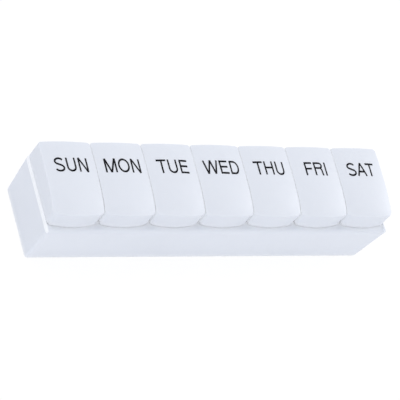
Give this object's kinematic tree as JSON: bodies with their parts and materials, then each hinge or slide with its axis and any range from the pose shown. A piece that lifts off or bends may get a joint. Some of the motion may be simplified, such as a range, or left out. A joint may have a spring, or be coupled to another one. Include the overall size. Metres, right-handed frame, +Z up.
{
  "type": "weekly pill organizer",
  "caption": "Long shallow tray with a row of wells, each closed by its own domed translucent lid that flips up and back on a rod at the rear.",
  "frame": {"origin": "middle of the footprint of the whole part, on the surface that it stands on", "axes": "+X along the row of days towards the Saturday lid, -Y the front where the lids are lifted, +Z up"},
  "size_m": [0.1522, 0.0359, 0.032],
  "materials": {
    "tray": "frosted white moulded plastic, slightly translucent, satin",
    "lid": "frosted white moulded plastic, translucent, satin",
    "rod": "plain white plastic"
  },
  "bodies": {
    "tray": {"tray": "tray", "hinge_rod": "rod"},
    "lid_sun": {"lid_sun": "lid"},
    "lid_mon": {"lid_mon": "lid"},
    "lid_tue": {"lid_tue": "lid"},
    "lid_wed": {"lid_wed": "lid"},
    "lid_thu": {"lid_thu": "lid"},
    "lid_fri": {"lid_fri": "lid"},
    "lid_sat": {"lid_sat": "lid"}
  },
  "joints": [
    {"name": "sun_lid_hinge", "type": "hinge", "parent": "tray", "child": "lid_sun", "pos_m": [-0.065, 0.01576, 0.0208], "axis": [-1, 0, 0], "range_deg": [0, 110]},
    {"name": "mon_lid_hinge", "type": "hinge", "parent": "tray", "child": "lid_mon", "pos_m": [-0.04333, 0.01576, 0.0208], "axis": [-1, 0, 0], "range_deg": [0, 110]},
    {"name": "tue_lid_hinge", "type": "hinge", "parent": "tray", "child": "lid_tue", "pos_m": [-0.02167, 0.01576, 0.0208], "axis": [-1, 0, 0], "range_deg": [0, 110]},
    {"name": "wed_lid_hinge", "type": "hinge", "parent": "tray", "child": "lid_wed", "pos_m": [0, 0.01576, 0.0208], "axis": [-1, 0, 0], "range_deg": [0, 110]},
    {"name": "thu_lid_hinge", "type": "hinge", "parent": "tray", "child": "lid_thu", "pos_m": [0.02167, 0.01576, 0.0208], "axis": [-1, 0, 0], "range_deg": [0, 110]},
    {"name": "fri_lid_hinge", "type": "hinge", "parent": "tray", "child": "lid_fri", "pos_m": [0.04333, 0.01576, 0.0208], "axis": [-1, 0, 0], "range_deg": [0, 110]},
    {"name": "sat_lid_hinge", "type": "hinge", "parent": "tray", "child": "lid_sat", "pos_m": [0.065, 0.01576, 0.0208], "axis": [-1, 0, 0], "range_deg": [0, 110]}
  ]
}
